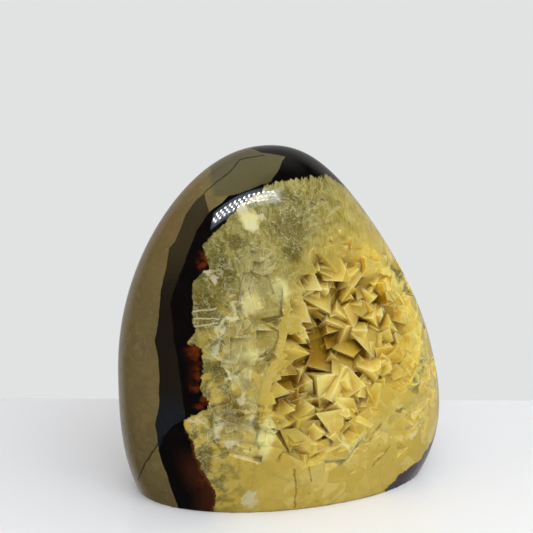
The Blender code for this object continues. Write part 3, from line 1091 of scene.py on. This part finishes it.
def new_material(name, settings):
    material = bpy.data.materials.new(name)
    material.use_nodes = True
    surface = material.node_tree.nodes["Principled BSDF"]
    for socket, value in settings.items():
        surface.inputs[socket].default_value = value
    return material, Shader(material.node_tree), surface


def object_place(s):
    return s.add("TexCoord", output="Object")


CALCITE_LIGHT = {
    "Subsurface Weight": 0.85,
    "Subsurface Radius": (1, 0.85, 0.35),
    "Subsurface Scale": 0.0022,
    "IOR": 1.55,
}
CRYSTAL_LIGHT = {
    "Subsurface Weight": 1,
    "Subsurface Radius": (1, 0.86, 0.42),
    "Subsurface Scale": 0.006,
    "Specular IOR Level": 0.25,
    "IOR": 1.55,
}


def polished(name, settings):
    """A part of the polished face: the bands share their colours, and only calcite lets light in."""
    material, s, surface = new_material(name, settings)
    place, top_band = object_place(s), s.stored("top_band", "Fac")
    marks = {"Chart": s.stored("chart"), "Bands": s.stored("bands"), "Top_band": top_band}
    face = s.use(POLISHED_FACE, Place=place, **marks)
    s.feed(surface.inputs["Base Color"], face["Colour"])
    smear = s.noise(place, 220, 3)
    limestone, calcite = (s.ramp(smear, 0.3, 0.7, *gloss) for gloss in ((0.03, 0.06), (0.04, 0.08)))
    s.feed(surface.inputs["Roughness"], s.mix(face["Calcite"], limestone, calcite))
    return material


def facet_marks(s):
    """From each crystal face's map: a tone of its own, how near an edge is, and its middle."""
    square = s.add("UVMap")
    tint = s.add("TexWhiteNoise", s.vector("FLOOR", square), noise_dimensions="2D")
    across, up, _ = s.parts(s.vector("FRACTION", square))
    side = s.math("MINIMUM", across, s.math("SUBTRACT", 1, across))
    end = s.math("MINIMUM", up, s.math("SUBTRACT", 1, up))
    inward = s.math("MINIMUM", side, end)
    return tint, s.ramp(inward, 0, 0.06, 1, 0), s.ramp(inward, 0.02, 0.34)


def crystal_material():
    """Crystal faces, each with its own tone, with painted highlights on edges and tips and golden
    painted shade in face middles, near the wall and deep down.
    """
    material, s, surface = new_material("calcite_crystals", CRYSTAL_LIGHT)
    place, chart = object_place(s), s.stored("chart")
    tint, rim, heart = facet_marks(s)
    across, up, depth = s.parts(chart)
    growth = s.stored("growth", "Fac")
    cloud = s.noise(place, 180, 3, 0.6)
    tone = s.mix(s.ramp(cloud, 0.3, 0.7), (238, 212, 108), (208, 174, 56))
    tone = s.over(tone, (194, 158, 44), s.ramp(s.noise(place, 55, 2), 0.45, 0.62, 0, 0.6))
    tone = s.over(tone, (196, 186, 112), s.ramp(slope(s, across, up, -1, 1), 8, 34), 0.6)
    tone = s.over(tone, (244, 228, 152), s.ramp(tint, 0, 1, 0, 0.3))
    # Painted light: the crystals' tips, far from the wall, paler than their feet
    tone = s.over(tone, (244, 226, 146), s.ramp(growth, 3, 10), s.ramp(depth, 16, 6), 0.5)
    # Painted shade: the middle of each face darker and more golden than its edges
    veil = s.ramp(s.noise(place, 420, 4, 0.65), 0.3, 0.65)
    tone = s.over(tone, (196, 160, 48), heart, veil, 0.42)
    # Painted shade: golden brown on crystals near the wall, deep in the hollow and in its shadowed
    # spots
    shade_near_wall = s.product(s.ramp(growth, 5, 0.5), s.ramp(depth, 2.5, 8))
    low = s.math("MAXIMUM", shade_near_wall, s.ramp(depth, 5, 13.5))
    low = s.math("MAXIMUM", low, patches(s, warped(s, chart, 0.3, 5), GOLDEN_SHADE_PLACES, 0.45))
    tone = s.over(tone, (150, 112, 4), low, 0.93)
    # Painted shade: darker brown in the creases at the crystals' feet
    tone = s.over(tone, (112, 78, 6), s.ramp(growth, 2.2, 0.2), s.ramp(depth, 1.5, 5), 0.5)
    # Painted highlight: a pale line along each face's edges, fading where the crystals lie deep
    tone = s.over(tone, (252, 242, 196), rim, s.ramp(depth, 16, 6), 0.24)
    sawn = s.use(SAWN_CALCITE, Chart=chart, Place=place)["Colour"]
    tone = s.over(tone, sawn, s.ramp(depth, 7, 4), s.ramp(across, -5, -11))
    s.feed(surface.inputs["Base Color"], tone)
    smooth = s.math("MULTIPLY_ADD", tint, 0.26, s.ramp(cloud, 0.3, 0.7, 0.05, 0.14))
    rough = s.math("MAXIMUM", smooth, s.ramp(growth, 1.5, 0.4, 0, 0.7))
    s.feed(surface.inputs["Roughness"], rough)
    s.bumps(surface, s.noise(place, 500, 5, 0.65), 0.0006, 0.5)
    return material


def broken_material():
    """Calcite where the polish has broken off: the face's colours, with whiter cleavage steps that
    are partly painted highlight, and painted shade in facet middles.
    """
    material, s, surface = new_material("broken_calcite", CALCITE_LIGHT)
    place, chart = object_place(s), s.stored("chart")
    tint, rim, heart = facet_marks(s)
    across, up, _ = s.parts(chart)
    cloud = s.ramp(s.noise(place, 180, 3, 0.6), 0.3, 0.7)
    golden = s.mix(cloud, (232, 208, 114), (212, 184, 80))
    sawn = s.use(SAWN_CALCITE, Chart=chart, Place=place)["Colour"]
    tone = s.over(sawn, golden, s.ramp(slope(s, across, up, 0.55, -0.8), 0, 14))
    tone = s.over(tone, (232, 222, 158), s.ramp(tint, 0, 1, 0, 0.4))
    # Painted shade: the middle of each facet darker olive
    tone = s.over(tone, (140, 130, 62), heart, 0.3)
    # Whiter facet edges: partly the white of fresh cleavage, partly painted highlight
    tone = s.over(tone, (240, 236, 206), rim, 0.3)
    s.feed(surface.inputs["Base Color"], tone)
    s.feed(surface.inputs["Roughness"], s.ramp(s.noise(place, 500, 3), 0.3, 0.7, 0.12, 0.34))
    s.bumps(surface, s.noise(place, 260, 5, 0.7), 0.0015, 0.7)
    return material


# Building the pieces

# Calcite's material reaches a little past its edge on the chart, and only where the depth
# below the polish, in millimetres, is next to nothing
CALCITE_MARGIN = -2.5
POLISHED_DEPTH = 0.02
SMOOTH_WITHIN_DEGREES = 14


def smooth_within(made, degrees):
    made.data.shade_smooth()
    made.data.set_sharp_from_angle(angle=math.radians(degrees))


def on_polish(face, depths):
    return max(depths[index] for index in face.vertices) < POLISHED_DEPTH


def build():
    limestone = polished("polished_limestone", {"IOR": 1.5})
    calcite = polished("polished_calcite", CALCITE_LIGHT)
    crystals = crystal_material()
    broken = broken_material()

    blank = stone_blank()
    skin = BVHTree.FromBMesh(blank)
    chips = grow(chip_places(skin), "chip_form")
    nodule = new_piece("polished_nodule", blank, [limestone, calcite, broken])
    cutter = new_piece("hollow_form", hollow_lens(skin, RIM_FACETS), [])
    boolean(nodule, "DIFFERENCE", cutter)
    boolean(nodule, "DIFFERENCE", chips)
    bm = applied(nodule, [cutter])
    bm.to_mesh(nodule.data)
    bm.free()
    grown = new_piece("polish_form", stone_blank(PROUD), [])
    crust, floor = crystal_crust(skin, grown, chips, [crystals, calcite])
    cleared(chips)

    depths = mark(nodule, skin, floor)
    faces = nodule.data.polygons
    centres = chart_of(np.array([face.center for face in faces]))
    for face, depth in zip(faces, inside(centres, CALCITE_EDGE)):
        face.material_index = int(depth > CALCITE_MARGIN) if on_polish(face, depths) else 2
    depths = mark(crust, skin, floor)
    for face in crust.data.polygons:
        face.material_index = int(on_polish(face, depths))

    for piece, node, slot in (
        (nodule, "nodule", "polished_stone"),
        (crust, "calcite_crust", "calcite_crystal"),
    ):
        smooth_within(piece, SMOOTH_WITHIN_DEGREES)
        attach(piece, "root")
        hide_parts(node)


build()


# The studio

VIEW_TURN = math.radians(-22)
VIEW_RISE = math.radians(17)
VIEW_DISTANCE = 0.42
VIEW_WIDTH = math.radians(23.9)
SENSOR_WIDTH = 36
PICTURE = 533
AIM_ACROSS = 13.9
AIM_UP = 49.4


def direction(turn, rise):
    """The unit vector towards a viewer who stands at a turn from the front and above the horizon."""
    return Vector((math.sin(turn) * math.cos(rise), -math.cos(turn) * math.cos(rise), math.sin(rise)))


def camera():
    """The camera, looking from the photograph's angle at a point beside the stone's middle."""
    data = bpy.data.cameras.new("camera")
    data.sensor_width = SENSOR_WIDTH
    data.lens = data.sensor_width / 2 / math.tan(VIEW_WIDTH / 2)
    made = in_scene("camera", data)
    bpy.context.scene.camera = made
    far = PICTURE / 2 / math.tan(VIEW_WIDTH / 2)
    back = direction(VIEW_TURN, VIEW_RISE)
    made.location = Vector((STONE_SHIFT[0], STONE_SHIFT[1], HEIGHT / 2)) + back * VIEW_DISTANCE
    ahead = -direction(VIEW_TURN + math.atan(AIM_ACROSS / far), VIEW_RISE - math.atan(AIM_UP / far))
    made.rotation_euler = ahead.to_track_quat("-Z", "Y").to_euler()


def softbox(name, turn, rise, distance, size, power):
    """A soft light that the polish doesn't mirror."""
    data = bpy.data.lights.new(name, "AREA")
    data.shape = "RECTANGLE"
    data.size, data.size_y = size
    data.energy = power
    made = in_scene(name, data)
    made.visible_glossy = False
    towards = direction(math.radians(turn), math.radians(rise))
    made.location = Vector((0, 0, HEIGHT / 2)) + towards * distance
    made.rotation_euler = towards.to_track_quat("Z", "Y").to_euler()


BEHIND_CAMERA = (0.03, 0.032, 0.036, 1)
WALLS = (0.44, 0.43, 0.41, 1)
CEILING = (0.3, 0.305, 0.3, 1)
AMBIENT = (0.34, 0.34, 0.34, 1)
LAMP_ROWS = 3
LAMP_COUNT = 14
LAMP_PITCH = 0.034
ROW_PITCH = 0.019
LAMP_RADIUS = 0.0036
LAMP_CORNERS = 8
LAMP_PLACE = Vector((-0.05, -0.36, 0.47))
LAMP_LIGHT = {"Emission Color": (0.95, 0.98, 1, 1), "Emission Strength": 170}
BOARD_MARGIN = 0.02
BOARD_LIGHT = {"Emission Color": (0.5, 0.75, 1, 1), "Emission Strength": 1.0}


def lamp_rows():
    """Rows of small lamps above and before the stone, which its polish mirrors as strings of dots."""
    facing = (LAMP_PLACE - Vector((0, 0, HEIGHT / 2))).to_track_quat("-Z", "Y").to_matrix().to_4x4()
    centre = Matrix.Translation(LAMP_PLACE) @ facing
    bm = bmesh.new()
    for row in range(LAMP_ROWS):
        for step in range(LAMP_COUNT):
            aside = (step - (LAMP_COUNT - 1) / 2 + 0.5 * (row % 2)) * LAMP_PITCH
            height = (row - (LAMP_ROWS - 1) / 2) * ROW_PITCH
            place = centre @ Matrix.Translation((aside, height, 0))
            bmesh.ops.create_circle(
                bm, cap_ends=True, segments=LAMP_CORNERS, radius=LAMP_RADIUS, matrix=place
            )
    new_piece("lamp_rows", bm, [new_material("lamps", LAMP_LIGHT)[0]])
    bm = bmesh.new()
    half_width, half_height = LAMP_COUNT * LAMP_PITCH / 2, LAMP_ROWS * ROW_PITCH / 2
    size = Matrix.Diagonal((half_width + BOARD_MARGIN, half_height + BOARD_MARGIN, 1, 1))
    behind = Matrix.Translation((0, 0, -LAMP_RADIUS))
    bmesh.ops.create_grid(bm, x_segments=1, y_segments=1, size=1, matrix=centre @ behind @ size)
    new_piece("lamp_board", bm, [new_material("lamp_board", BOARD_LIGHT)[0]])


SHEET_BACK = 0.072
SHEET_SIZE = 1.5
SHEET_FINISH = {
    "Roughness": 0.12,
    "IOR": 1.45,
    "Emission Color": (1, 1, 1, 1),
    "Emission Strength": 0.12,
}
# The soft lights: turn, rise, distance, size and power
SOFTBOXES = {
    "overhead": (0, 90, 2.0, (3.0, 3.0), 11),
    "front_fill": (12, 38, 1.0, (1.1, 0.8), 3.9),
    "left_fill": (-95, 25, 0.9, (0.5, 0.6), 0.4),
    "right_fill": (75, 25, 0.9, (0.5, 0.6), 1.3),
}


def studio():
    scene = bpy.context.scene
    scene.view_settings.view_transform = "Standard"
    world = bpy.data.worlds.new("studio")
    scene.world = world
    world.use_nodes = True
    s = Shader(world.node_tree)
    side, back, up = s.parts(s.add("TexCoord", output="Generated"))
    glow = s.mix(s.ramp(s.math("MULTIPLY_ADD", side, 0.45, back), 0.3, 0.75), BEHIND_CAMERA, WALLS)
    overhead = s.product(s.ramp(up, 0.66, 0.86), s.ramp(back, -0.42, -0.1))
    glow = s.mix(overhead, glow, CEILING)
    glow = s.mix(s.add("LightPath", output="Is Diffuse Ray"), glow, AMBIENT)
    shown = s.mix(s.add("LightPath", output="Is Camera Ray"), glow, (225, 227, 226))
    s.feed(world.node_tree.nodes["Background"].inputs["Color"], shown)

    bm = bmesh.new()
    turned = Matrix.Rotation(VIEW_TURN, 4, "Z") @ Matrix.Translation((0, SHEET_BACK - SHEET_SIZE, 0))
    bmesh.ops.create_grid(bm, x_segments=2, y_segments=2, size=SHEET_SIZE, matrix=turned)
    floor_material, s, surface = new_material("pale_floor", SHEET_FINISH)
    pale = s.mix(s.noise(object_place(s), 2, 2), (234, 234, 236), (240, 240, 242))
    s.feed(surface.inputs["Base Color"], pale)
    floor = new_piece("floor", bm, [floor_material])
    floor.visible_glossy = False

    lamp_rows()
    for name, settings in SOFTBOXES.items():
        softbox(name, *settings)


camera()
studio()
